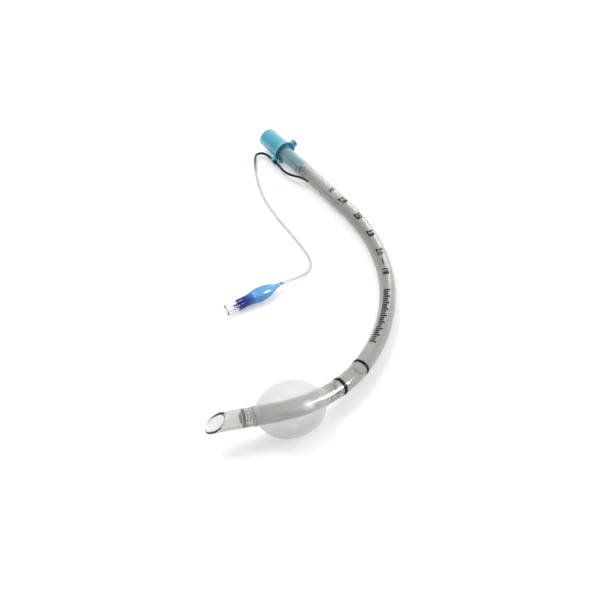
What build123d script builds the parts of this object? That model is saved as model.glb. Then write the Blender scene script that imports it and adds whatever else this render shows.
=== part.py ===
from build123d import *
from math import cos, degrees, pi, radians, sin, sqrt, tan
import os

# Wire-reinforced, cuffed breathing tube, size 8.0, as it comes to rest on a table.
# Millimetres, +Z up. A station is a distance along the tube's centreline from the
# machine end of its connector. The origin is under the middle of the tube's box.

os.makedirs("parts", exist_ok=True)

# Course of the centreline: straight, a long bend, a tighter bend, straight to the tip
straight_run = 97.0
long_bend_radius = 145.6
long_bend_turn = 66.2
tight_bend_radius = 91.8
tight_bend_turn = 40.5
tip_run = 39.9

# Main tube and its clear sleeve over the connector's stem
lumen_d = 8.0
tube_wall = 1.5
sleeve_d = 11.5
sleeve_end = 46.3
bead_height = 0.22
bead_width = 1.1
bevel_angle = 43.0
bevel_roll = 90.0

# Wire wound into the wall: square section, mitred runs
wire_d = 0.32
wire_pitch = 1.8
wire_runs_per_turn = 8
wire_start = 48.0
wire_end = 350.0
wire_inner_cover = 0.02

# Connector: a 1:40 cone for a 15 mm socket, a flared flange, two ears and a stem
cone_end_d = 15.1
cone_taper = 1 / 40
cone_length = 19.5
cone_wall = 1.45
cone_bore_length = 14.0
edge_chamfer = 0.3
flange_d = 18.4
flare_length = 3.4
rim_thickness = 0.6
rim_lip = 0.7
recess_depth = 2.9
stem_d = 8.6
stem_wall = 0.7
stem_length = 18.4
ear_span = 23.6
ear_width = 6.2
ear_thickness = 2.6
ear_corner = 1.6
ear_roll = 33.0
clip_gap = 1.5
clip_clearance = 0.15

# Cuff, blown thin, with a collar bonded round the tube at each end
cuff_d = 32.4
cuff_length = 38.6
cuff_station = 320.7
cuff_wall = 0.3
cuff_shoulder = (0.82, 0.62)
collar_wall = 0.35
collar_length = 2.6
cuff_port_d = 1.6

# Two depth rings
ring_stations = (265.7, 286.5)
ring_width = 2.3
ring_height = 0.15

# Inflation line, and the small lumen in the tube's wall that it feeds
line_d = 1.9
line_inserted = 3.2
line_lead = 2.6
line_entry = 60.0
inflation_lumen_d = 0.5
inflation_lumen_cover = 0.1
line_points = (
    (82.75, 64.5, 8.1),
    (82.7, 71.0, 8.0),
    (78.6, 79.0, 6.7),
    (77.5, 88.0, 5.5),
    (79.6, 97.5, 4.45),
    (79.6, 108.5, 4.85),
    (79.6, 114.5, 4.6),
    (78.2, 118.8, 4.0),
    (74.9, 120.6, 3.5),
    (71.6, 118.4, 2.9),
    (67.2, 111.5, 1.9),
    (61.8, 102.0, 1.1),
    (55.6, 88.5, 0.95),
    (49.4, 70.0, 0.95),
    (46.2, 51.5, 0.95),
    (44.4, 32.5, 0.95),
    (42.2, 13.0, 0.95),
    (39.4, -0.5, 0.95),
    (34.1, -7.8, 1.0),
    (25.1, -11.2, 2.2),
    (17.1, -12.4, 4.4),
)

# Pilot balloon. Its lengths, like the valve's, run inward from the valve's mouth.
balloon_d = 9.8
balloon_belly = 24.5
balloon_sleeve_length = 7.0
balloon_waist = (0.74, 0.58)
balloon_neck = 39.2
balloon_end = 42.6
balloon_wall = 0.35
pilot_mouth_xy = (-34.6, -11.8)
pilot_heading = -1.6

# Check valve: clear body with a 6 % syringe port, seal, plunger, spring, retainer
valve_rim_d = 7.2
valve_rim_length = 1.2
valve_body_d = 6.8
valve_stem_d = 6.5
valve_visible = 8.6
valve_length = 20.0
port_mouth_d = 4.3
port_taper = 0.06
port_depth = 8.0
throat_d = 2.9
throat_length = 1.6
chamber_d = 5.0
seal_d = 4.4
seal_thickness = 1.0
plunger_top = 5.8
plunger_stem_d = 2.4
plunger_rib = 0.8
plunger_neck_d = 1.5
plunger_head_d = 4.2
plunger_head_thickness = 1.0
plunger_boss_d = 1.9
plunger_boss_length = 2.2
retainer_length = 2.0
retainer_hole_d = 1.8
spring_wire = 0.25
spring_d = 2.9
spring_turns = 5
spring_runs_per_turn = 8

lumen_r = lumen_d / 2
tube_r = lumen_r + tube_wall
line_r = line_d / 2
rim_r = flange_d / 2
rim_station = cone_length + flare_length + rim_thickness
socket_start = rim_station - recess_depth
socket_end = socket_start + stem_length
clip_centre = rim_r + line_r + clip_clearance
inflation_offset = tube_r - inflation_lumen_cover - inflation_lumen_d / 2
legs = (
    (straight_run, None),
    (long_bend_radius * radians(long_bend_turn), long_bend_radius),
    (tight_bend_radius * radians(tight_bend_turn), tight_bend_radius),
    (tip_run, None),
)
tip_station = sum(length for length, bend in legs)
seat_at = port_depth + throat_length
head_at = seat_at + seal_thickness
spring_from = head_at + plunger_head_thickness
retainer_at = valve_length - retainer_length
bottom_up = (Align.CENTER, Align.CENTER, Align.MIN)


def station(s):
    """Point and heading of the flat centreline at station s. The bends turn clockwise."""
    x, y, heading = 0.0, straight_run, -pi / 2
    left = s
    for length, bend in legs:
        step = min(left, length)
        if bend is None:
            x += step * cos(heading)
            y += step * sin(heading)
        else:
            centre_x = x + bend * sin(heading)
            centre_y = y - bend * cos(heading)
            heading -= step / bend
            x = centre_x - bend * sin(heading)
            y = centre_y + bend * cos(heading)
        left -= step
    return Vector(x, y, 0), heading


def across(s):
    """Plane square to the centreline: +Z along it, +X to the inside of the bend."""
    point, heading = station(s)
    return Plane(
        origin=point,
        x_dir=(sin(heading), -cos(heading), 0),
        z_dir=(cos(heading), sin(heading), 0),
    )


def rod(start, end, radius, offset=0.0):
    """Round bar along the centreline from start to end, offset to the bend's inside."""
    whole = None
    leg_start = 0.0
    for length, bend in legs:
        low = max(start, leg_start)
        high = min(end, leg_start + length)
        if high > low:
            plane = across(low)
            section = plane * Pos(offset, 0) * Circle(radius)
            if bend is None:
                piece = extrude(section, amount=high - low)
            else:
                centre = plane.origin + plane.x_dir * bend
                piece = revolve(section, Axis(centre, (0, 0, -1)), degrees((high - low) / bend))
            whole = whole + piece if whole else piece
        leg_start += length
    return whole


def sleeve(start, end, outer, inner):
    """Tube of two radii along the centreline."""
    return rod(start, end, outer) - rod(start, end, inner)


def spun(*edges):
    """Solid turned about Z from a closed outline in the XZ plane."""
    return revolve(Plane.XZ * make_face(Curve() + list(edges)), Axis.Z)


def coil(points, thickness):
    """Wire of square section, mitred from point to point."""
    path = Polyline(*points)
    section = Plane(origin=points[0], z_dir=path % 0) * Rectangle(thickness, thickness)
    return sweep(section, path=path, transition=Transition.RIGHT)


def rest_plane():
    """Plane of the centreline as the tube lies on its flange, its cuff and its long bend."""
    flange_at = station(rim_station)[0]
    cuff_from_flange = station(cuff_station)[0] - flange_at
    cuff_rise = cuff_d / 2 - rim_r
    bend_rise = tube_r - rim_r
    samples = [station(tip_station * i / 400)[0] - flange_at for i in range(401)]
    lowest = station(straight_run + legs[1][0] / 2)[0] - flange_at
    for _ in range(6):
        spread = cuff_from_flange.X * lowest.Y - cuff_from_flange.Y * lowest.X
        slope_x = (cuff_rise * lowest.Y - bend_rise * cuff_from_flange.Y) / spread
        slope_y = (cuff_from_flange.X * bend_rise - lowest.X * cuff_rise) / spread
        lowest = min(samples, key=lambda p: slope_x * p.X + slope_y * p.Y)
    height = rim_r - slope_x * flange_at.X - slope_y * flange_at.Y
    x_dir = Vector(sqrt(1 - slope_x**2), 0, slope_x)
    y_x = -slope_x * slope_y / x_dir.X
    y_dir = Vector(y_x, sqrt(1 - y_x**2 - slope_y**2), slope_y)
    return Plane(origin=(0, 0, height), x_dir=x_dir, z_dir=x_dir.cross(y_dir))


def make_connector():
    """Turned cone, flare and stem, bored through, with a clipped ear on each side."""
    cone_r = cone_end_d / 2
    neck_r = cone_r + cone_length * cone_taper / 2
    flare_end = cone_length + flare_length
    stem_r = stem_d / 2
    stem_bore_r = stem_r - stem_wall
    cone = Polyline((0, 0), (cone_r - edge_chamfer, 0), (cone_r, edge_chamfer), (neck_r, cone_length))
    flare = TangentArc(cone @ 1, (rim_r, flare_end), tangent=cone % 1)
    patient_side = Polyline(
        flare @ 1,
        (rim_r, rim_station),
        (rim_r - rim_lip, rim_station),
        (sleeve_d / 2 + rim_lip, socket_start),
        (stem_r, socket_start),
        (stem_r, socket_end),
        (0, socket_end),
        (0, 0),
    )
    body = spun(cone, flare, patient_side)
    ear = RectangleRounded(ear_span, ear_width, ear_corner) - Circle(rim_r - rim_lip)
    body += Pos(0, 0, rim_station - ear_thickness) * extrude(ear, amount=ear_thickness)
    for side in (-1, 1):
        clip = Pos(side * clip_centre, 0) * Circle(line_r + clip_clearance)
        clip += Pos(side * (clip_centre + ear_span / 4), 0) * Rectangle(ear_span / 2, clip_gap)
        body -= Pos(0, 0, rim_station - ear_thickness) * extrude(clip, amount=ear_thickness)
    bore_r = cone_r - cone_wall
    bore = Polyline(
        (0, 0),
        (bore_r, 0),
        (bore_r, cone_bore_length),
        (stem_bore_r, socket_start),
        (stem_bore_r, socket_end),
        (0, socket_end),
        (0, 0),
    )
    return body - spun(bore)


def make_tube():
    """Main tube: clear sleeve end, bead, small inflation lumen, cuff port, bevelled tip."""
    body = rod(sleeve_end - bead_width, tip_station, tube_r)
    body += rod(socket_start, sleeve_end, sleeve_d / 2)
    bead = Cylinder(sleeve_d / 2 + bead_height, bead_width, align=bottom_up)
    body += across(sleeve_end - bead_width) * chamfer(bead.edges(), bead_height)
    body -= rod(socket_start, socket_end, stem_d / 2)
    body -= rod(socket_end, tip_station, lumen_r)
    lean = radians(bevel_angle)
    bevel = Plane(origin=(tube_r, 0, 0), z_dir=(-cos(lean), 0, sin(lean)))
    waste = Box(8 * tube_r, 4 * tube_r, 4 * tube_r, align=bottom_up)
    body -= across(tip_station) * Rot(0, 0, bevel_roll) * bevel.location * waste
    inflation_end = cuff_station + cuff_port_d
    body -= rod(line_entry, inflation_end, inflation_lumen_d / 2, inflation_offset)
    port = Rot(0, 90, 0) * Cylinder(cuff_port_d / 2, tube_wall, align=bottom_up)
    body -= across(cuff_station) * Pos(inflation_offset, 0, 0) * port
    return body


def make_wire():
    """Wire wound round the lumen inside the wall, clear of it by the inner cover."""
    middle_r = lumen_r + wire_inner_cover + wire_d * sin(pi / 4)
    corner_r = middle_r / cos(pi / wire_runs_per_turn)
    turns = round((wire_end - wire_start) / wire_pitch)
    steps = turns * wire_runs_per_turn
    points = []
    for i in range(steps + 1):
        plane = across(wire_start + (wire_end - wire_start) * i / steps)
        turn = 2 * pi * i / wire_runs_per_turn
        out = plane.x_dir * cos(turn) + plane.y_dir * sin(turn)
        points.append(plane.origin + out * corner_r)
    return coil(points, wire_d)


def make_cuff():
    """Blown balloon with its two collars, hollow round the tube."""
    half = cuff_length / 2
    neck_r = tube_r + collar_wall
    start = cuff_station - half - collar_length
    end = cuff_station + half + collar_length
    chord = station(cuff_station + half)[0] - station(cuff_station - half)[0]
    place = Plane(origin=station(cuff_station)[0], z_dir=chord)

    def balloon(inset):
        shoulder_r = cuff_shoulder[0] * cuff_d / 2 - inset
        shoulder_at = cuff_shoulder[1] * half
        end_at = half - inset
        side = Spline(
            (neck_r - inset, -end_at),
            (shoulder_r, -shoulder_at),
            (cuff_d / 2 - inset, 0),
            (shoulder_r, shoulder_at),
            (neck_r - inset, end_at),
        )
        return place * spun(side, Polyline(side @ 1, (0, end_at), (0, -end_at), side @ 0))

    return balloon(0) + rod(start, end, neck_r) - balloon(cuff_wall) - rod(start, end, tube_r)


def make_rings():
    """Two thin bands round the tube that mark its depth."""
    near, far = [
        sleeve(s - ring_width / 2, s + ring_width / 2, tube_r + ring_height, tube_r)
        for s in ring_stations
    ]
    return near + far


def pilot_plane():
    """Plane at the valve's mouth, +Z inward, as the balloon and the mouth's rim lie down."""
    rim = valve_rim_d / 2
    rise = (balloon_d / 2 - rim) / balloon_belly
    flat = sqrt(1 - rise**2)
    heading = radians(pilot_heading)
    inward = (flat * cos(heading), flat * sin(heading), rise)
    return Plane(origin=(*pilot_mouth_xy, rim / flat), z_dir=inward)


def make_pilot_balloon():
    """Blown balloon whose sleeve grips the valve and whose neck grips the line."""
    sleeve_top = valve_visible + balloon_sleeve_length
    belly_r = balloon_d / 2
    waist_at = balloon_belly + balloon_waist[1] * (balloon_neck - balloon_belly)

    def outline(inset):
        sleeve_r = valve_stem_d / 2 + balloon_wall - inset
        neck_r = line_r + balloon_wall - inset
        side = Spline(
            (sleeve_r, sleeve_top),
            (belly_r - inset, balloon_belly),
            (balloon_waist[0] * belly_r - inset, waist_at),
            (neck_r, balloon_neck),
            tangents=((0, 1), (0, 1)),
        )
        low = Polyline((0, valve_visible), (sleeve_r, valve_visible), side @ 0)
        high = Polyline(side @ 1, (neck_r, balloon_end), (0, balloon_end), (0, valve_visible))
        return spun(low, side, high)

    return outline(0) - outline(balloon_wall)


def make_valve_body():
    """Clear body: syringe port, throat and an open chamber for the seal and spring."""
    body = Cylinder(valve_body_d / 2, valve_visible, align=bottom_up)
    body += Cylinder(valve_rim_d / 2, valve_rim_length, align=bottom_up)
    body += Cylinder(valve_stem_d / 2, valve_length, align=bottom_up)
    port_floor_d = port_mouth_d - port_taper * port_depth
    body -= Cone(port_mouth_d / 2, port_floor_d / 2, port_depth, align=bottom_up)
    body -= Cylinder(throat_d / 2, valve_length, align=bottom_up)
    return body - Pos(0, 0, seat_at) * Cylinder(chamber_d / 2, valve_length, align=bottom_up)


def make_valve_seal():
    """Soft washer that the spring holds against the seat."""
    ring = Circle(seal_d / 2) - Circle(plunger_neck_d / 2)
    return Pos(0, 0, seat_at) * extrude(ring, amount=seal_thickness)


def make_valve_plunger():
    """Crossed ribs that a syringe pushes, a neck for the seal, a head and a spring boss."""
    ribs = Rectangle(plunger_stem_d, plunger_rib) + Rectangle(plunger_rib, plunger_stem_d)
    body = Pos(0, 0, plunger_top) * extrude(ribs, amount=seat_at - plunger_top)
    body += Pos(0, 0, seat_at) * Cylinder(plunger_neck_d / 2, seal_thickness, align=bottom_up)
    body += Pos(0, 0, head_at) * Cylinder(plunger_head_d / 2, plunger_head_thickness, align=bottom_up)
    boss = Cylinder(plunger_boss_d / 2, plunger_boss_length, align=bottom_up)
    return body + Pos(0, 0, spring_from) * boss


def make_valve_spring():
    """Small coil spring between the plunger's head and the retainer."""
    first = spring_from + spring_wire / 2
    rise = retainer_at - spring_wire - spring_from
    steps = spring_turns * spring_runs_per_turn
    points = []
    for i in range(steps + 1):
        turn = 2 * pi * i / spring_runs_per_turn
        points.append((spring_d / 2 * cos(turn), spring_d / 2 * sin(turn), first + rise * i / steps))
    return coil(points, spring_wire)


def make_valve_retainer():
    """Ring that closes the chamber, carries the spring and lets the air through."""
    ring = Circle(chamber_d / 2) - Circle(retainer_hole_d / 2)
    return Pos(0, 0, retainer_at) * extrude(ring, amount=retainer_length)


def line_route(pilot):
    """All points of the line: the chosen ones, then straight into the balloon's neck."""
    into_neck = pilot.origin + pilot.z_dir * (balloon_end - line_inserted)
    before_neck = pilot.origin + pilot.z_dir * (balloon_end + line_lead)
    return [Vector(*p) for p in line_points] + [before_neck, into_neck]


def make_line(route):
    """Round line: straight runs joined by tangent arcs as large as the runs allow."""
    radii = []
    for before, at, after in zip(route, route[1:], route[2:]):
        turn = (at - before).get_angle(after - at)
        run = min((at - before).length, (after - at).length)
        radii.append(0.45 * run / tan(radians(turn) / 2))
    print("line radii", [round(r, 1) for r in radii])
    path = FilletPolyline(*route, radius=radii)
    section = Plane(origin=route[0], z_dir=route[1] - route[0]) * Circle(line_r)
    line = sweep(section, path=path)
    print("line volume", round(line.volume, 2), "section x length", round(pi * line_r**2 * path.length, 2))
    return line


def centring(placed):
    """Shift that puts the origin under the middle of the pieces' common box."""
    boxes = [piece.bounding_box() for piece in placed]
    low = [min(getattr(box.min, axis) for box in boxes) for axis in "XYZ"]
    high = [max(getattr(box.max, axis) for box in boxes) for axis in "XYZ"]
    return Pos(-(low[0] + high[0]) / 2, -(low[1] + high[1]) / 2, -low[2])


flat_pieces = {
    "connector": across(0) * Rot(0, 0, ear_roll) * make_connector(),
    "tracheal_tube": make_tube(),
    "reinforcing_wire": make_wire(),
    "cuff": make_cuff(),
    "depth_rings": make_rings(),
}
laid = {name: rest_plane().location * piece for name, piece in flat_pieces.items()}
shift = centring(laid.values())
print("frame shift", shift.position, "tip station", round(tip_station, 2))
pieces = {name: shift * piece for name, piece in laid.items()}

pilot = pilot_plane()
pieces["inflation_line"] = make_line(line_route(pilot))
pieces["tracheal_tube"] -= pieces["inflation_line"]
valve_pieces = {
    "pilot_balloon": make_pilot_balloon(),
    "valve_body": make_valve_body(),
    "valve_seal": make_valve_seal(),
    "valve_plunger": make_valve_plunger(),
    "valve_spring": make_valve_spring(),
    "valve_retainer": make_valve_retainer(),
}
pieces.update({name: pilot.location * piece for name, piece in valve_pieces.items()})

for name, piece in pieces.items():
    export_step(piece, f"parts/{name}.step")
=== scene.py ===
import math

import bmesh
import bpy
from mathutils import Matrix, Vector


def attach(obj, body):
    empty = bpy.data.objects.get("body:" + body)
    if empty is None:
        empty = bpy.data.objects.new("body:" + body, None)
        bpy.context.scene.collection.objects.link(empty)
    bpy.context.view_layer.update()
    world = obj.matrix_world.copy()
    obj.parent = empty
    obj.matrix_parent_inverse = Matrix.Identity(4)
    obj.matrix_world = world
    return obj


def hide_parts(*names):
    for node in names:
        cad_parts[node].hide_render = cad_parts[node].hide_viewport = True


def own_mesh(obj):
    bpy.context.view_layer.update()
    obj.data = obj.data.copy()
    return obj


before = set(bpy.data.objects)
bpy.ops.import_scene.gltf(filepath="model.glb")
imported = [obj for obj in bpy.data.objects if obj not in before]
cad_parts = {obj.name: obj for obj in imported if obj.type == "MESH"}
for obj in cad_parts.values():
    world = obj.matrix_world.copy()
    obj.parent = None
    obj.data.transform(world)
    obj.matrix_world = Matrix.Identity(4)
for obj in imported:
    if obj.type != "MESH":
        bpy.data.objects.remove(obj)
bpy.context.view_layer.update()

mm = 0.001
world = bpy.context.scene
world.view_settings.view_transform = "Standard"

# Camera, lamps and table

view = {
    "spot": (-0.23975, -0.3871, 0.4237),
    "target": (0.01165, -0.0275, 0.0),
    "lens": 56.4,
}
lamps = {
    # name: (place, size in metres, watts, whether it lights matt surfaces too), all aimed at the target
    "keySoftbox": ((-0.34, 0.42, 1.2), 0.5, 6.0, True),
    "sideSoftbox": ((0.6, -0.75, 0.54), 0.36, 20.0, False),
    "rimSoftbox": ((0.84, 0.45, 0.47), 0.45, 1.1, False),
}
table = {
    "width": 5.0,
    "colour": "#F3F3F2",
    "lift": 0.34,           # what the camera sees on top of the lit colour, so that it ends up white
    "skyLight": 0.78,
    "darkSide": (-0.93, -0.36, 0.0),      # the room is dark that way and bright the other way
    "darkFrom": 0.85,                     # how far a direction points to the dark side
    "brightFrom": -0.7,
    "darkest": 0.12,
    "brightest": 1.45,
    "throughClear": (0.4, 0.6),           # what clear plastic shows: a share of the room, and the least light
}


def linear(hexColour, alpha=1.0):
    channels = [int(hexColour[i:i + 2], 16) / 255 for i in (1, 3, 5)]
    return tuple(c / 12.92 if c <= 0.04045 else ((c + 0.055) / 1.055) ** 2.4 for c in channels) + (alpha,)


def addNode(tree, kind, settings=None, links=None):
    node = tree.nodes.new(kind)
    for name, value in (settings or {}).items():
        if isinstance(name, int) or name in node.inputs:
            node.inputs[name].default_value = value
        else:
            setattr(node, name, value)
    for socket, source in (links or {}).items():
        tree.links.new(source, node.inputs[socket])
    return node


def aimed(obj, spot):
    obj.location = spot
    obj.rotation_euler = (Vector(view["target"]) - Vector(spot)).to_track_quat("-Z", "Y").to_euler()
    world.collection.objects.link(obj)


def makeCamera():
    data = bpy.data.cameras.new("photoCamera")
    data.lens = view["lens"]
    data.sensor_width = 36.0
    data.clip_start, data.clip_end = 0.01, 30.0
    camera = bpy.data.objects.new("photoCamera", data)
    aimed(camera, view["spot"])
    world.camera = camera


def makeLamps():
    for name, (spot, size, watts, lightsMatt) in lamps.items():
        data = bpy.data.lights.new(name, "AREA")
        data.shape = "SQUARE"
        data.size = size
        data.energy = watts
        lamp = bpy.data.objects.new(name, data)
        lamp.visible_diffuse = lightsMatt
        aimed(lamp, spot)


def seenDirectly(tree):
    # 1 for rays that show the background: straight, mirrored or through clear plastic
    path = addNode(tree, "ShaderNodeLightPath")
    seen = addNode(tree, "ShaderNodeMath", {"operation": "MAXIMUM"},
                   {0: path.outputs["Is Camera Ray"], 1: path.outputs["Is Glossy Ray"]})
    return addNode(tree, "ShaderNodeMath", {"operation": "MAXIMUM"},
                   {0: seen.outputs[0], 1: path.outputs["Is Transmission Ray"]})


def makeTable():
    half = table["width"] / 2
    mesh = bpy.data.meshes.new("tableTop")
    mesh.from_pydata([(-half, -half, 0), (half, -half, 0), (half, half, 0), (-half, half, 0)], [], [(0, 1, 2, 3)])
    top = bpy.data.objects.new("tableTop", mesh)
    world.collection.objects.link(top)
    paper = bpy.data.materials.new("matteWhiteLaminate")
    paper.use_nodes = True
    tree = paper.node_tree
    seen = seenDirectly(tree)
    lift = addNode(tree, "ShaderNodeMath", {"operation": "MULTIPLY", 1: table["lift"]}, {0: seen.outputs[0]})
    shader = tree.nodes["Principled BSDF"]
    shader.inputs["Base Color"].default_value = linear(table["colour"])
    shader.inputs["Roughness"].default_value = 0.9
    shader.inputs["Specular IOR Level"].default_value = 0.1
    shader.inputs["Emission Color"].default_value = (1, 1, 1, 1)
    tree.links.new(lift.outputs[0], shader.inputs["Emission Strength"])
    mesh.materials.append(paper)


def makeSky():
    sky = bpy.data.worlds.new("studioWhite")
    world.world = sky
    sky.use_nodes = True
    tree = sky.node_tree
    path = addNode(tree, "ShaderNodeLightPath")
    where = addNode(tree, "ShaderNodeTexCoord")
    side = addNode(tree, "ShaderNodeVectorMath", {"operation": "DOT_PRODUCT", 1: table["darkSide"]},
                   {0: where.outputs["Generated"]})
    room = addNode(tree, "ShaderNodeMapRange",
                   {"From Min": table["brightFrom"], "From Max": table["darkFrom"],
                    "To Min": table["brightest"], "To Max": table["darkest"]},
                   {"Value": side.outputs["Value"]})
    roomShare, least = table["throughClear"]
    through = addNode(tree, "ShaderNodeMath", {"operation": "MULTIPLY_ADD", 1: roomShare, 2: least},
                      {0: room.outputs[0]})
    clear = addNode(tree, "ShaderNodeMapRange", None,
                    {"Value": path.outputs["Is Transmission Ray"],
                     "To Min": room.outputs[0], "To Max": through.outputs[0]})
    matt = addNode(tree, "ShaderNodeMath", {"operation": "MULTIPLY", 1: table["skyLight"]}, {0: room.outputs[0]})
    share = addNode(tree, "ShaderNodeMapRange", None,
                    {"Value": path.outputs["Is Diffuse Ray"], "To Min": clear.outputs[0], "To Max": matt.outputs[0]})
    strength = addNode(tree, "ShaderNodeMapRange", {"To Max": 1.0},
                       {"Value": path.outputs["Is Camera Ray"], "To Min": share.outputs[0]})
    tree.nodes["Background"].inputs["Color"].default_value = (1, 1, 1, 1)
    tree.links.new(strength.outputs[0], tree.nodes["Background"].inputs["Strength"])


makeCamera()
makeLamps()
makeTable()
makeSky()
print("camera, lamps and table are in")

# How the tube lies

course = {
    "straightRun": 97.0,
    "longBend": (145.6, 66.2),          # radius and turn in degrees
    "tightBend": (91.8, 40.5),
    "tipRun": 39.9,
    "restX": (0.994336, 0.0, -0.106278),
    "restY": (0.004016, 0.999286, 0.037572),
    "restZ": (0.106203, -0.037786, 0.993626),
    "restSpot": (88.5143, 29.2335, 6.51325),
}
legs = [(course["straightRun"], None)]
for radius, turn in (course["longBend"], course["tightBend"]):
    legs.append((radius * math.radians(turn), radius))
legs.append((course["tipRun"], None))
tipStation = sum(length for length, bend in legs)
restTurn = Matrix((course["restX"], course["restY"], course["restZ"])).transposed()


def courseAt(s):
    # centre of the tube, its heading, the side towards the bend's inside, and up, at a distance s
    x, y, heading, left = 0.0, course["straightRun"], -math.pi / 2, s
    for length, bend in legs:
        step = left if (length, bend) == legs[-1] else min(left, length)
        if bend is None:
            x += step * math.cos(heading)
            y += step * math.sin(heading)
        else:
            centreX = x + bend * math.sin(heading)
            centreY = y - bend * math.cos(heading)
            heading -= step / bend
            x = centreX - bend * math.sin(heading)
            y = centreY + bend * math.cos(heading)
        left -= step
    centre = restTurn @ Vector((x, y, 0)) + Vector(course["restSpot"])
    along = restTurn @ Vector((math.cos(heading), math.sin(heading), 0))
    inward = restTurn @ Vector((math.sin(heading), -math.cos(heading), 0))
    return centre, along, inward, restTurn @ Vector((0, 0, 1))


def frameAt(s):
    # millimetres in, metres out: X to the bend's inside, Z along the tube
    centre, along, inward, up = courseAt(s)
    turn = Matrix((inward, -up, along)).transposed().to_4x4()
    return Matrix.Translation(centre * mm) @ turn @ Matrix.Scale(mm, 4)


def skinFrom(name, rings, material, body="airway", closed=False, ends=False, lay=None):
    # a skin over rings of points; closed joins the last ring to the first, ends caps both
    build = bmesh.new()
    uv = build.loops.layers.uv.new("lay") if lay else None
    count = len(rings[0])
    rows = [[build.verts.new(p) for p in ring] for ring in rings]
    for i in range(len(rows) - (0 if closed else 1)):
        j = (i + 1) % len(rows)
        for k in range(count):
            n = (k + 1) % count
            face = build.faces.new((rows[i][k], rows[i][n], rows[j][n], rows[j][k]))
            if uv:
                for loop, (ring, step) in zip(face.loops, ((i, k), (i, k + 1), (j, k + 1), (j, k))):
                    loop[uv].uv = (lay[ring], step / count)
    if ends:
        build.faces.new(rows[0])
        build.faces.new(rows[-1])
    bmesh.ops.recalc_face_normals(build, faces=build.faces)
    return pieceFrom(name, build, material, body)


def pieceFrom(name, build, material, body):
    mesh = bpy.data.meshes.new(name)
    build.to_mesh(mesh)
    build.free()
    mesh.shade_smooth()
    mesh.set_sharp_from_angle(angle=math.radians(50))
    mesh.materials.append(material)
    piece = bpy.data.objects.new(name, mesh)
    world.collection.objects.link(piece)
    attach(piece, body)
    return piece


def rounded(corners, steps=4):
    # corners are (x, y, how much is rounded off); the ends of each rounding meet its sides
    outline = []
    for i, (x, y, reach) in enumerate(corners):
        here = Vector((x, y))
        if not reach:
            outline.append(here)
            continue
        before = Vector(corners[i - 1][:2]) - here
        after = Vector(corners[(i + 1) % len(corners)][:2]) - here
        start = here + before.normalized() * min(reach, before.length * 0.48)
        end = here + after.normalized() * min(reach, after.length * 0.48)
        for k in range(steps + 1):
            t = k / steps
            outline.append(start * (1 - t) ** 2 + here * 2 * t * (1 - t) + end * t ** 2)
    return outline


def turned(name, place, outline, material, body="airway", steps=72):
    # outline is (along, radius) in millimetres, a closed loop spun about place's Z
    angles = [2 * math.pi * k / steps for k in range(steps)]
    rings = [[place @ Vector((r * math.cos(a), r * math.sin(a), z)) for a in angles] for z, r in outline]
    return skinFrom(name, rings, material, body, closed=True)


def smoothLine(knots, steps=8):
    # cubic runs through (x, y, slope)
    points = []
    for (x0, y0, m0), (x1, y1, m1) in zip(knots, knots[1:]):
        width = x1 - x0
        for k in range(steps):
            t = k / steps
            y = (2 * t**3 - 3 * t**2 + 1) * y0 + (t**3 - 2 * t**2 + t) * width * m0
            y += (3 * t**2 - 2 * t**3) * y1 + (t**3 - t**2) * width * m1
            points.append((x0 + width * t, y))
    return points + [knots[-1][:2]]


def coilRings(centreAt, turns, coilRadius, wireRadius, perTurn, sides, pitchShare):
    # round wire along a helix; pitchShare maps 0..1 of the turns to 0..1 of the length
    rings = []
    total = round(turns * perTurn)
    for i in range(total + 1):
        turn = 2 * math.pi * i / perTurn
        centre, along, sideways, up = centreAt(pitchShare(i / total))
        out = sideways * math.cos(turn) + up * math.sin(turn)
        middle = centre + out * coilRadius
        rings.append([
            (middle + (out * math.cos(a) + along * math.sin(a)) * wireRadius) * mm
            for a in (2 * math.pi * k / sides for k in range(sides))
        ])
    return rings


# Materials. Lengths in the shaders are metres.


def baseMaterial(name, settings):
    material = bpy.data.materials.new(name)
    material.use_nodes = True
    shader = material.node_tree.nodes["Principled BSDF"]
    for socket, value in settings.items():
        shader.inputs[socket].default_value = value
    return material, material.node_tree, shader


def tintInside(tree, hexColour, density):
    tint = addNode(tree, "ShaderNodeVolumeAbsorption", {"Color": linear(hexColour), "Density": density})
    tree.links.new(tint.outputs[0], tree.nodes["Material Output"].inputs["Volume"])


def mouldedSkin(tree, shader, grainMm, depthMm, stretch=(1, 1, 1), coordinates="Object"):
    # faint relief of a moulded or drawn surface, grainMm wide and depthMm deep
    where = addNode(tree, "ShaderNodeTexCoord")
    laid = addNode(tree, "ShaderNodeMapping", {"Scale": stretch}, {"Vector": where.outputs[coordinates]})
    grain = addNode(tree, "ShaderNodeTexNoise", {"Scale": 1000 / grainMm, "Detail": 2.0},
                    {"Vector": laid.outputs[0]})
    bump = addNode(tree, "ShaderNodeBump", {"Strength": 0.5, "Distance": depthMm * mm},
                   {"Height": grain.outputs["Fac"]})
    tree.links.new(bump.outputs[0], shader.inputs["Normal"])


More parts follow.
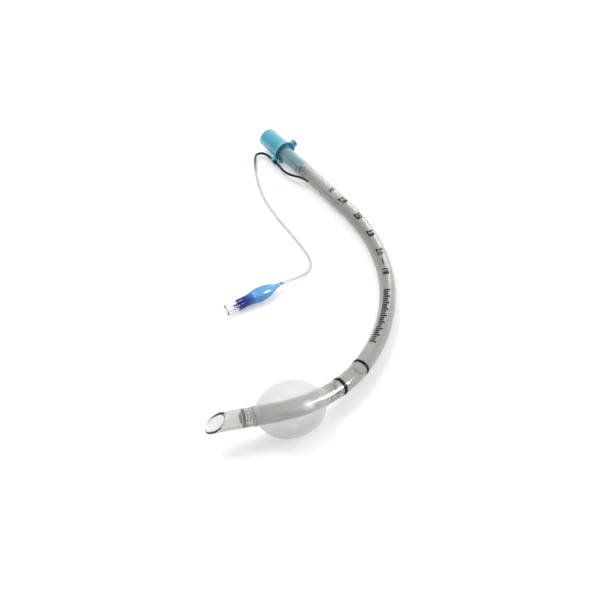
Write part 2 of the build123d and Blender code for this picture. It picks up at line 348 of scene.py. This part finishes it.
def makeTubePvc():
    # plasticised PVC, extruded: clear with a smoky cast and faint draw lines, 17 mm long and 0.9 mm wide
    # (its UV counts uvLength along and one turn round). The sleeve over the stem is a little hazy and
    # takes the stem's blue.
    material, tree, shader = baseMaterial("extrudedClearPvc", {
        "Roughness": 0.2, "IOR": 1.5, "Coat Weight": 1.0, "Coat Roughness": 0.12,
    })
    mouldedSkin(tree, shader, 1000.0, 0.004, (6.0, 40.0, 1.0), "UV")
    where = addNode(tree, "ShaderNodeTexCoord")
    split = addNode(tree, "ShaderNodeSeparateXYZ", None, {0: where.outputs["UV"]})
    sleeveEnd = (tube["sleeveTo"] - tube["beadWidth"]) / tube["uvLength"]
    share = addNode(tree, "ShaderNodeMapRange", {"From Min": sleeveEnd, "From Max": sleeveEnd + 0.014},
                    {"Value": split.outputs["X"]})
    ramp = addNode(tree, "ShaderNodeValToRGB", None, {"Fac": share.outputs[0]})
    ramp.color_ramp.elements[0].color = linear("#A9D9DE")
    ramp.color_ramp.elements[1].color = linear("#F1F1EE")
    tree.links.new(ramp.outputs[0], shader.inputs["Base Color"])
    clear = addNode(tree, "ShaderNodeMapRange", {"To Min": 0.68}, {"Value": share.outputs[0]})
    tree.links.new(clear.outputs[0], shader.inputs["Transmission Weight"])
    tintInside(tree, "#8E8F8B", 120.0)
    return material


def makeWireSteel():
    # stainless spring wire, drawn: a warm grey metal with soft reflections
    material, tree, shader = baseMaterial("drawnSpringWire", {
        "Base Color": linear("#A09D93"), "Metallic": 1.0, "Roughness": 0.32,
    })
    mouldedSkin(tree, shader, 0.3, 0.01)
    return material


def makeConnectorPlastic():
    # polypropylene, moulded and dyed through: light gets in, so thin rims glow and thick parts turn deep
    material, tree, shader = baseMaterial("mouldedBluePolypropylene", {
        "Base Color": linear("#3FC0DE"), "Roughness": 0.2, "IOR": 1.49, "Transmission Weight": 0.2,
        "Coat Weight": 1.0, "Coat Roughness": 0.08,
    })
    mouldedSkin(tree, shader, 0.8, 0.02)
    tintInside(tree, "#2BA4C2", 300.0)
    return material


def makeCuffFilm():
    # polyurethane film, blown: a hazy skin that thickens to the eye where it turns away
    material, tree, shader = baseMaterial("blownPolyurethaneFilm", {
        "Base Color": linear("#E2E2E0"), "Roughness": 0.32, "IOR": 1.6,
    })
    turn = addNode(tree, "ShaderNodeLayerWeight", {"Blend": 0.3})
    haze = addNode(tree, "ShaderNodeMapRange", {"To Min": 0.34, "To Max": 0.6}, {"Value": turn.outputs["Facing"]})
    tree.links.new(haze.outputs[0], shader.inputs["Alpha"])
    mouldedSkin(tree, shader, 9.0, 0.12)
    return material


def makeRingInk():
    # printed band: opaque black ink, a little uneven
    material, tree, shader = baseMaterial("padPrintedBlack", {
        "Base Color": linear("#060606"), "Roughness": 0.34, "IOR": 1.5, "Specular IOR Level": 0.1,
    })
    mouldedSkin(tree, shader, 0.25, 0.01)
    return material


def makeLinePvc():
    # thin PVC line, almost clear, with painted shade: its colour is painted dark ink-blue by the connector, then almost
    # clear
    material, tree, shader = baseMaterial("extrudedLinePvcPaintedShade", {
        "Roughness": 0.2, "IOR": 1.5, "Transmission Weight": 0.35, "Specular IOR Level": 0.3,
    })
    where = addNode(tree, "ShaderNodeTexCoord")
    split = addNode(tree, "ShaderNodeSeparateXYZ", None, {0: where.outputs["Object"]})
    share = addNode(tree, "ShaderNodeMapRange",
                    {"From Min": line["clearFrom"] * mm, "From Max": line["darkFrom"] * mm},
                    {"Value": split.outputs["X"]})
    ramp = addNode(tree, "ShaderNodeValToRGB", None, {"Fac": share.outputs[0]})
    # the first stop is the line's own near-clear colour; the other two are painted shade, darkest by the connector
    ramp.color_ramp.elements[0].color = linear("#E8EAF2")
    ramp.color_ramp.elements[1].color = linear("#070A2C")
    middle = ramp.color_ramp.elements.new(0.45)
    middle.color = linear("#7A80A6")
    tree.links.new(ramp.outputs[0], shader.inputs["Base Color"])
    return material


def makeBalloonFilm():
    # blue PVC film, blown and dyed through: cyan over the belly, navy where it grips the valve
    material, tree, shader = baseMaterial("blownBlueFilm", {
        "Roughness": 0.08, "IOR": 1.45, "Transmission Weight": 1.0,
    })
    where = addNode(tree, "ShaderNodeTexCoord")
    fromMouth = addNode(tree, "ShaderNodeVectorMath", {"operation": "SUBTRACT", 1: pilotAt(pilot["sleeveFrom"]) * mm},
                        {0: where.outputs["Object"]})
    along = addNode(tree, "ShaderNodeVectorMath", {"operation": "DOT_PRODUCT", 1: pilotInward},
                    {0: fromMouth.outputs[0]})
    share = addNode(tree, "ShaderNodeMapRange", {"From Max": 12.0 * mm}, {"Value": along.outputs["Value"]})
    ramp = addNode(tree, "ShaderNodeValToRGB", None, {"Fac": share.outputs[0]})
    ramp.color_ramp.elements[0].position = 0.5
    ramp.color_ramp.elements[0].color = linear("#5E7FD0")
    ramp.color_ramp.elements[1].color = linear("#C9EDF8")
    tree.links.new(ramp.outputs[0], shader.inputs["Base Color"])
    mouldedSkin(tree, shader, 4.0, 0.03)
    tintInside(tree, "#36A4DC", 1500.0)
    return material


def makeValvePolycarbonate():
    # polycarbonate, moulded clear and polished
    material, tree, shader = baseMaterial("mouldedClearPolycarbonate", {
        "Base Color": linear("#F6F8FC"), "Roughness": 0.05, "IOR": 1.58, "Transmission Weight": 1.0,
    })
    mouldedSkin(tree, shader, 1.2, 0.01)
    return material


def makeSealSilicone():
    # silicone rubber, moulded: soft, dark and dull
    material, tree, shader = baseMaterial("mouldedSilicone", {
        "Base Color": linear("#1B2244"), "Roughness": 0.55, "IOR": 1.41,
    })
    mouldedSkin(tree, shader, 0.3, 0.01)
    return material


def makePlungerAcetal():
    # acetal, moulded in dark blue: smooth with a waxy shine
    material, tree, shader = baseMaterial("mouldedBlueAcetal", {
        "Base Color": linear("#14206E"), "Roughness": 0.3, "IOR": 1.48, "Subsurface Weight": 0.1,
    })
    shader.inputs["Subsurface Radius"].default_value = (0.0004, 0.0005, 0.001)
    mouldedSkin(tree, shader, 0.4, 0.01)
    return material


# Inflation line, first because its course sets where the pilot balloon lies

line = {
    "diameter": 1.9,
    "length": 227.0,
    "weldTaper": (0.5, 0.85),     # its end flattens into the tube's wall
    "clearFrom": 62.0,        # its colour changes between these two, seen along X, from clear to the painted dark shade
    "darkFrom": 77.0,
    # where part.py's line turns
    "route": (
        (82.75, 64.5, 8.1), (82.7, 71.0, 8.0), (78.6, 79.0, 6.7), (77.5, 88.0, 5.5),
        (79.6, 97.5, 4.45), (79.6, 108.5, 4.85), (79.6, 114.5, 4.6), (78.2, 118.8, 4.0),
        (74.9, 120.6, 3.5), (71.6, 118.4, 2.9), (67.2, 111.5, 1.9), (61.8, 102.0, 1.1),
        (55.6, 88.5, 0.95), (49.4, 70.0, 0.95), (46.2, 51.5, 0.95), (44.4, 32.5, 0.95),
        (42.2, 13.0, 0.95), (39.4, -0.5, 0.95), (34.1, -7.8, 1.0), (25.1, -11.2, 2.2),
        (17.1, -12.4, 4.4),
    ),
}
pilot = {
    "mouth": (-34.6, -11.8, 3.60508),
    "inward": (0.998202, -0.027882, 0.053061),
    "neck": 39.2,
    "end": 42.6,
    "wall": 0.35,
    "belly": (24.5, 4.9),
    "waist": (33.03, 3.6),
    "sleeveTop": 15.6,
    "sleeveFrom": 8.6,
    "sleeveRadius": 3.6,
    "lineReaches": 3.2,
    "lineLead": 2.6,
    "clearance": 0.03,        # between the film and what it grips
    "edge": 0.12, "neckEdge": 0.1,
}
pilotInward = Vector(pilot["inward"]).normalized()


def pilotAt(v):
    return Vector(pilot["mouth"]) + pilotInward * v


def makeLine():
    points = [Vector(p) for p in line["route"]]
    points += [pilotAt(pilot["end"] + pilot["lineLead"]), pilotAt(pilot["end"] - pilot["lineReaches"])]
    data = bpy.data.curves.new("inflationLine", "CURVE")
    data.dimensions = "3D"
    data.resolution_u = 16
    data.bevel_depth = line["diameter"] / 2 * mm
    data.bevel_resolution = 5
    data.use_fill_caps = True
    spline = data.splines.new("NURBS")
    spline.points.add(len(points) - 1)
    for point, place in zip(spline.points, points):
        point.co = (*(place * mm), 1.0)
    for point, share in zip(spline.points, line["weldTaper"]):
        point.radius = share
    spline.order_u = 3
    spline.use_endpoint_u = True
    data.materials.append(makeLinePvc())
    piece = bpy.data.objects.new("inflationLine", data)
    world.collection.objects.link(piece)
    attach(piece, "airway")
    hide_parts("inflation_line")
    return piece


inflationLine = makeLine()
print("inflation line is in")

# Pilot balloon and check valve

valve = {
    "outline": (
        (0.0, 2.15, 0.15), (0.0, 3.6, 0.3), (1.2, 3.6, 0.3), (1.45, 3.35, 0.2), (8.55, 3.35, 0.2),
        (8.6, 3.22, 0.0), (20.0, 3.22, 0.3), (20.0, 2.5, 0.1), (9.6, 2.5, 0.1), (9.6, 1.45, 0.1),
        (8.0, 1.45, 0.1), (8.0, 1.91, 0.1),
    ),
    "springFrom": 11.6, "springTo": 18.0, "springRadius": 1.325, "springWire": 0.13, "springTurns": 5.5,
    "springSteps": 24, "springSides": 8,
    "travel": 1.3,
}


def pilotFrame():
    side = pilotInward.orthogonal().normalized()
    turn = Matrix((side, pilotInward.cross(side), pilotInward)).transposed().to_4x4()
    return Matrix.Translation(Vector(pilot["mouth"]) * mm) @ turn @ Matrix.Scale(mm, 4)


def balloonSide(inset):
    bellyAt, bellyRadius = pilot["belly"]
    waistAt, waistRadius = pilot["waist"]
    return smoothLine([
        (pilot["sleeveTop"], pilot["sleeveRadius"] - inset, 0.0),
        (bellyAt, bellyRadius - inset, 0.0),
        (waistAt, waistRadius - inset, -0.34),
        (pilot["neck"], line["diameter"] / 2 + pilot["wall"] - inset, -0.1),
    ], 14)


def makeBalloon(material):
    thin = pilot["wall"] - pilot["clearance"]
    low, sleeveRadius, edge = pilot["sleeveFrom"], pilot["sleeveRadius"], pilot["edge"]
    high, neckRadius, neckEdge = pilot["end"], line["diameter"] / 2 + pilot["wall"], pilot["neckEdge"]
    outline = [(low, sleeveRadius - thin), (low, sleeveRadius - edge), (low + edge, sleeveRadius)]
    outline += balloonSide(0.0)
    outline += [(high - neckEdge, neckRadius), (high, neckRadius - neckEdge), (high, neckRadius - thin)]
    outline += reversed(balloonSide(thin))
    piece = turned("pilotBalloon", pilotFrame(), outline, material)
    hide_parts("pilot_balloon")
    return piece


def makeValveBody(material):
    piece = turned("valveBody", pilotFrame(), rounded(valve["outline"], 3), material)
    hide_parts("valve_body")
    return piece


def makeValveSpring(material):
    side = pilotInward.orthogonal().normalized()
    low = valve["springFrom"] + valve["springWire"]
    rise = valve["springTo"] - valve["springFrom"] - 2 * valve["springWire"]
    rings = coilRings(
        lambda share: (pilotAt(low + rise * share), pilotInward, side, pilotInward.cross(side)),
        valve["springTurns"], valve["springRadius"], valve["springWire"],
        valve["springSteps"], valve["springSides"],
        lambda share: share * share * (3 - 2 * share),
    )
    piece = skinFrom("valveSpring", rings, material, ends=True)
    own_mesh(piece)
    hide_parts("valve_spring")
    return piece


def finishNode(node, material):
    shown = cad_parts[node]
    for holder in shown.material_slots:
        holder.material = material
    return shown


wireSteel = makeWireSteel()
clearPolycarbonate = makeValvePolycarbonate()
pilotBalloon = makeBalloon(makeBalloonFilm())
valveBody = makeValveBody(clearPolycarbonate)
valveSpring = makeValveSpring(wireSteel)
valveSeal = finishNode("valve_seal", makeSealSilicone())
valvePlunger = finishNode("valve_plunger", makePlungerAcetal())
valveRetainer = finishNode("valve_retainer", clearPolycarbonate)
print("pilot balloon and check valve are in")

# Connector

connector = {
    "outline": (
        (0.0, 6.1, 0.3), (0.0, 7.55, 0.4), (19.5, 7.794, 0.0), (20.6, 7.83, 0.0), (21.5, 8.02, 0.0), (22.3, 8.46, 0.0),
        (22.85, 9.2, 0.25), (23.5, 9.2, 0.25), (23.5, 8.5, 0.25), (20.65, 6.45, 0.5), (20.65, 4.3, 0.2),
        (39.0, 4.3, 0.25), (39.0, 3.6, 0.2), (20.6, 3.6, 2.0), (14.0, 6.1, 2.0),
    ),
    "earRoll": 33.0, "earFrom": 20.9, "earTo": 23.5, "earReach": 11.8, "earWidth": 6.2, "earCorner": 1.6,
    "earEdge": 0.3, "earRoot": 8.7, "clipAt": 10.3, "clipRadius": 1.1, "clipGap": 1.5, "clipCorner": 0.3,
}


def earOutline():
    half, gap = connector["earWidth"] / 2, connector["clipGap"] / 2
    opening = math.asin(gap / connector["clipRadius"])
    swing = math.asin(half / connector["earRoot"])
    outline = [Vector((connector["earRoot"] * math.cos(a), connector["earRoot"] * math.sin(a)))
               for a in (swing - 2 * swing * k / 8 for k in range(9))]
    outer = rounded([(connector["earRoot"], -half, 0), (connector["earReach"], -half, connector["earCorner"]),
                     (connector["earReach"], -gap, connector["clipCorner"])], 5)[1:]
    hole = [Vector((connector["clipAt"] + connector["clipRadius"] * math.cos(a), connector["clipRadius"] * math.sin(a)))
            for a in (-opening - (2 * math.pi - 2 * opening) * k / 20 for k in range(21))]
    mirrored = [Vector((p.x, -p.y)) for p in reversed(outer)]
    return outline + outer + hole + mirrored


def earMesh(place, turn):
    build = bmesh.new()
    spin = Matrix.Rotation(math.radians(connector["earRoll"] + turn), 4, "Z")
    low = [build.verts.new(place @ spin @ Vector((p.x, p.y, connector["earFrom"]))) for p in earOutline()]
    face = build.faces.new(low)
    raised = bmesh.ops.extrude_face_region(build, geom=[face])
    lift = place.to_3x3() @ Vector((0, 0, connector["earTo"] - connector["earFrom"]))
    bmesh.ops.translate(build, vec=lift, verts=[v for v in raised["geom"] if isinstance(v, bmesh.types.BMVert)])
    bmesh.ops.recalc_face_normals(build, faces=build.faces)
    rims = [e for e in build.edges if len(e.link_faces) == 2 and any(len(f.verts) > 4 for f in e.link_faces)]
    bmesh.ops.bevel(build, geom=rims, offset=connector["earEdge"] * mm, segments=3, profile=0.5, affect="EDGES")
    mesh = bpy.data.meshes.new("ear")
    build.to_mesh(mesh)
    build.free()
    ear = bpy.data.objects.new("ear", mesh)
    world.collection.objects.link(ear)
    return ear


def uniteWith(piece, others):
    for other in others:
        union = piece.modifiers.new("union", "BOOLEAN")
        union.operation = "UNION"
        union.solver = "MANIFOLD"
        union.object = other
    bpy.context.view_layer.update()
    graph = bpy.context.evaluated_depsgraph_get()
    mesh = bpy.data.meshes.new_from_object(piece.evaluated_get(graph))
    piece.modifiers.clear()
    piece.data = mesh
    for other in others:
        bpy.data.objects.remove(other)
    mesh.shade_smooth()
    mesh.set_sharp_from_angle(angle=math.radians(40))


def makeConnector(material):
    place = frameAt(0)
    piece = turned("connector15mm", place, rounded(connector["outline"], 4), material, steps=96)
    uniteWith(piece, [earMesh(place, 0), earMesh(place, 180)])
    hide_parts("connector")
    return piece


makeConnector(makeConnectorPlastic())
print("connector is in")

# Tube with its wire, rings and print

tube = {
    "radius": 5.5, "lumen": 4.0, "wall": 1.5,
    "sleeveRadius": 5.75, "sleeveFrom": 20.7, "stemRadius": 4.34, "stemTo": 39.05, "sleeveTo": 46.3,
    "beadRadius": 5.87, "beadWidth": 1.1,
    "bevelAngle": 43.0, "bevelFrom": 348.0,
    "airRadius": 0.25, "airAt": 5.15, "airFrom": 62.0, "airTo": 322.0,
    "edge": 0.2, "sleeveRows": 22.0, "sleeveStep": 2.0, "rowStep": 1.6,
    "uvLength": 100.0,
    "around": 96,
}
wire = {
    "radius": 0.24, "coil": 4.27, "from": 48.3, "to": 349.6, "pitch": 1.8,
    "endTurns": 3, "endPitch": 2.1,         # the end turns' pitch is in wire radii
    "steps": 28, "sides": 6,
}
rings = {"at": (265.7, 286.5), "width": 2.3, "height": 0.15, "edge": 0.08, "gap": 0.01}


def stationAtTip(s, height):
    # the tip's bevel: stations beyond bevelFrom are squeezed up to the slanted cut
    if s <= tube["bevelFrom"]:
        return s
    cut = tipStation - (tube["radius"] + height) / math.tan(math.radians(tube["bevelAngle"]))
    return tube["bevelFrom"] + (s - tube["bevelFrom"]) / (tipStation - tube["bevelFrom"]) * (cut - tube["bevelFrom"])


def tubeRing(s, radius, steps, middle=0.0):
    ring = []
    for k in range(steps):
        a = 2 * math.pi * k / steps
        height = radius * math.sin(a)
        centre, along, inward, up = courseAt(stationAtTip(s, height))
        ring.append((centre + inward * (middle + radius * math.cos(a)) + up * height) * mm)
    return ring


def stations(low, high, step):
    count = max(1, round((high - low) / step))
    return [low + (high - low) * i / count for i in range(count + 1)]


def hollow(piece, rows):
    # a closed channel inside a piece's wall: its skin faces the channel
    build = bmesh.new()
    build.from_mesh(piece.data)
    rims = [[build.verts.new(p) for p in ring] for ring in rows]
    count = len(rows[0])
    skin = [build.faces.new((low[k], low[(k + 1) % count], high[(k + 1) % count], high[k]))
            for low, high in zip(rims, rims[1:]) for k in range(count)]
    skin += [build.faces.new(rims[0]), build.faces.new(rims[-1])]
    bmesh.ops.recalc_face_normals(build, faces=skin)
    bmesh.ops.reverse_faces(build, faces=skin)
    build.to_mesh(piece.data)
    build.free()
    piece.data.shade_smooth()
    piece.data.set_sharp_from_angle(angle=math.radians(50))


def makeTube(material):
    lip = tube["wall"] / 2
    middle = tube["radius"] - lip
    low, edge, step = tube["sleeveFrom"], tube["edge"], tube["rowStep"]
    beadFrom = tube["sleeveTo"] - tube["beadWidth"]
    loop = [(low, tube["stemRadius"]), (low, tube["sleeveRadius"] - edge), (low + edge, tube["sleeveRadius"])]
    loop += [(s, tube["sleeveRadius"]) for s in stations(tube["sleeveRows"], beadFrom - edge, tube["sleeveStep"])]
    for k in range(9):
        share = k / 8
        swell = (tube["beadRadius"] - tube["sleeveRadius"]) * math.sin(math.pi * share)
        ground = tube["sleeveRadius"] + (tube["radius"] - tube["sleeveRadius"]) * share
        loop.append((tube["sleeveTo"] - tube["beadWidth"] * (1 - share), ground + swell))
    loop += [(s, tube["radius"]) for s in stations(tube["sleeveTo"] + 0.3, tipStation - lip, step)]
    loop += [(tipStation - lip + lip * math.sin(a), middle + lip * math.cos(a))
             for a in (math.pi * k / 8 for k in range(1, 8))]
    loop += [(s, tube["lumen"]) for s in reversed(stations(tube["stemTo"], tipStation - lip, step))]
    loop += [(s, tube["stemRadius"]) for s in reversed(stations(low + 1, tube["stemTo"], tube["sleeveStep"]))]
    piece = skinFrom("breathingTube", [tubeRing(s, r, tube["around"]) for s, r in loop], material,
                     closed=True, lay=[s / tube["uvLength"] for s, r in loop])
    hollow(piece, [tubeRing(s, tube["airRadius"], 10, tube["airAt"])
                   for s in stations(tube["airFrom"], tube["airTo"], tube["sleeveStep"])])
    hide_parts("tracheal_tube")
    return piece


def makeWire(material):
    turns = round((wire["to"] - wire["from"]) / wire["pitch"]) + 2 * wire["endTurns"]
    closeShare = wire["endTurns"] / turns
    closeLength = wire["endTurns"] * wire["endPitch"] * wire["radius"] / (wire["to"] - wire["from"])

    def along(share):
        # the last turns at each end lie against each other
        if share < closeShare:
            return share / closeShare * closeLength
        if share > 1 - closeShare:
            return 1 - (1 - share) / closeShare * closeLength
        return closeLength + (share - closeShare) / (1 - 2 * closeShare) * (1 - 2 * closeLength)

    def spot(share):
        return courseAt(wire["from"] + (wire["to"] - wire["from"]) * share)

    coil = coilRings(spot, turns, wire["coil"], wire["radius"], wire["steps"], wire["sides"], along)
    piece = skinFrom("reinforcingWire", coil, material, ends=True)
    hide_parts("reinforcing_wire")
    return piece


def makeRings(material):
    low, high = tube["radius"] + rings["gap"], tube["radius"] + rings["height"]
    half, edge = rings["width"] / 2, rings["edge"]
    for number, at in enumerate(rings["at"], 1):
        loop = [(at - half, low), (at - half, high - edge), (at - half + edge, high), (at, high),
                (at + half - edge, high), (at + half, high - edge), (at + half, low)]
        piece = skinFrom(f"depthRing{number}", [tubeRing(s, r, 72) for s, r in loop], material, closed=True)
        if number == 1:
            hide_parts("depth_rings")


ringInk = makeRingInk()
makeTube(makeTubePvc())
makeWire(wireSteel)
makeRings(ringInk)
print("tube, wire and rings are in")

# Cuff

cuff = {
    "at": 320.7, "length": 38.6, "radius": 16.2, "collar": 2.6, "collarRadius": 5.85,
    "shoulder": (12.0, 13.3, 0.62), "endSlope": 1.5,
    "edge": 0.1, "gap": 0.02,
    # small folds where the film gathers, foldAt from each collar and foldReach wide to each side
    "folds": 13, "foldDepth": 0.05, "foldAt": 3.0, "foldReach": 4.5, "fineFolds": 22.1, "fineShare": 0.6,
    "around": 96,
}


def makeCuff(material):
    half = cuff["length"] / 2
    at, radius, slope = cuff["shoulder"]
    side = smoothLine([(-half, cuff["collarRadius"], cuff["endSlope"]), (-at, radius, slope), (0, cuff["radius"], 0),
                       (at, radius, -slope), (half, cuff["collarRadius"], -cuff["endSlope"])], 12)
    inside, outside, end = tube["radius"] + cuff["gap"], cuff["collarRadius"], half + cuff["collar"]
    collar = [(end - cuff["edge"], outside), (end, outside - cuff["edge"]), (end, inside)]
    loop = [(-z, r) for z, r in reversed(collar)] + side + collar
    shell = []
    for z, r in loop:
        centre, along, inward, up = courseAt(cuff["at"] + z)
        near = max(0.0, 1 - abs(abs(z) - (half - cuff["foldAt"])) / cuff["foldReach"])
        depth = cuff["foldDepth"] * near if r > outside + 0.2 else 0.0
        ring = []
        for k in range(cuff["around"]):
            a = 2 * math.pi * k / cuff["around"]
            fold = math.sin(cuff["folds"] * a) + cuff["fineShare"] * math.sin(cuff["fineFolds"] * a + z)
            ring.append((centre + (inward * math.cos(a) + up * math.sin(a)) * (r + depth * fold)) * mm)
        shell.append(ring)
    piece = skinFrom("inflatedCuff", shell, material)
    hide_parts("cuff")
    return piece


makeCuff(makeCuffFilm())
print("cuff is in")

# Print on the tube: depth numbers in centimetres from the tip, with ticks

marks = {
    "angle": 75.0,             # degrees from the bend's inside over the top
    "height": 4.3,
    "numbers": (27, 25, 23, 21, 19),
    "numberSize": 1.4,         # of the height
    "numberGap": 3.2,          # from a number's middle to its tick
    "bold": 0.24,
    "tickWidth": 1.0,
    "bars": (83.0, 84.6),
    "dash": (167.5, 6.0, 0.4), # place, length and half its width
    "ruler": (196.0, 246.0, 2.1),
    "rulerBar": 1.45,
    "rulerShort": 0.7,         # every third bar has the full height
    "cutStep": 0.3,            # the print is cut this fine to bend round the tube
    "lift": 0.03,
}


def numberShape(text, size):
    data = bpy.data.curves.new("number", "FONT")
    data.body = text
    data.size = size
    data.align_x = "CENTER"
    data.align_y = "CENTER"
    data.resolution_u = 3
    data.offset = marks["bold"]
    obj = bpy.data.objects.new("number", data)
    world.collection.objects.link(obj)
    bpy.context.view_layer.update()
    graph = bpy.context.evaluated_depsgraph_get()
    mesh = bpy.data.meshes.new_from_object(obj.evaluated_get(graph))
    bpy.data.objects.remove(obj)
    return mesh


def addBar(build, x, width, low, high):
    corners = [(x - width / 2, low), (x + width / 2, low), (x + width / 2, high), (x - width / 2, high)]
    build.faces.new([build.verts.new((a, b, 0)) for a, b in corners])


def makePrint(material):
    build = bmesh.new()
    half = marks["height"] / 2
    for number in marks["numbers"]:
        at = tipStation - 10 * number
        shape = numberShape(str(number), marks["height"] * marks["numberSize"])
        shape.transform(Matrix.Translation((at - marks["numberGap"], 0, 0)))
        build.from_mesh(shape)
        addBar(build, at, marks["tickWidth"], -half, half)
    for at in marks["bars"]:
        addBar(build, at, marks["tickWidth"], -half, half)
    at, length, reach = marks["dash"]
    addBar(build, at, length, -reach, reach)
    for i, at in enumerate(stations(*marks["ruler"])):
        reach = half if i % 3 == 0 else half * marks["rulerShort"]
        addBar(build, at, marks["rulerBar"], -half, -half + 2 * reach)
    for cut in range(-12, 13):
        geometry = build.verts[:] + build.edges[:] + build.faces[:]
        bmesh.ops.bisect_plane(build, geom=geometry, plane_co=(0, cut * marks["cutStep"], 0), plane_no=(0, 1, 0))
    reach = tube["radius"] + marks["lift"]
    for vert in build.verts:
        centre, along, inward, up = courseAt(vert.co.x)
        a = math.radians(marks["angle"]) + vert.co.y / tube["radius"]
        vert.co = (centre + (inward * math.cos(a) + up * math.sin(a)) * reach) * mm
    piece = pieceFrom("depthPrint", build, material, "airway")
    return piece


makePrint(ringInk)
print("print is in")
